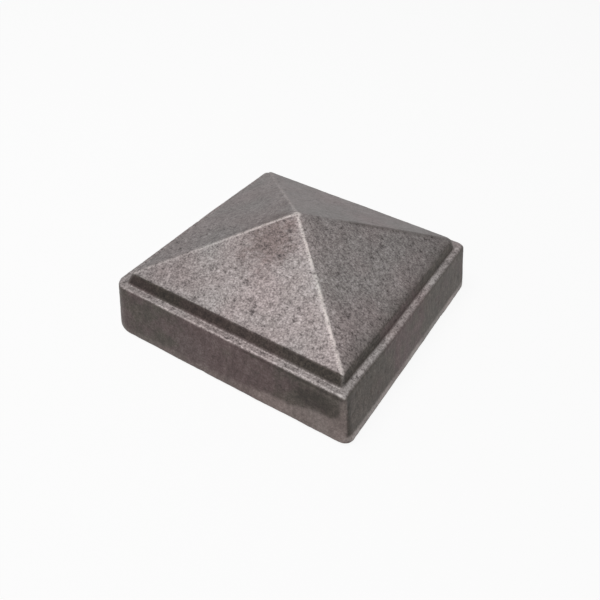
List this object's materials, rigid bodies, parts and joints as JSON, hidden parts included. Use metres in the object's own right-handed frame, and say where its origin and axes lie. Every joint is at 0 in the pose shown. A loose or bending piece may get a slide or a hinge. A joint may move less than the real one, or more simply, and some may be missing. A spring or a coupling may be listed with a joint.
{
  "type": "pyramid post cap",
  "caption": "Square iron post cap: a drafted skirt, a narrow ledge, a low riser and a four-sided pyramid roof, hollow underneath to slip over a square post.",
  "frame": {"origin": "middle of the rim's plane, on the axis of the socket", "axes": "+Z along the post's axis towards the peak; +X and +Y square to the skirt's sides"},
  "size_m": [0.0626, 0.0626, 0.0251],
  "materials": {
    "cast_iron": "as cast, bare"
  },
  "bodies": {
    "root": {"post_cap": "cast_iron"}
  },
  "joints": []
}
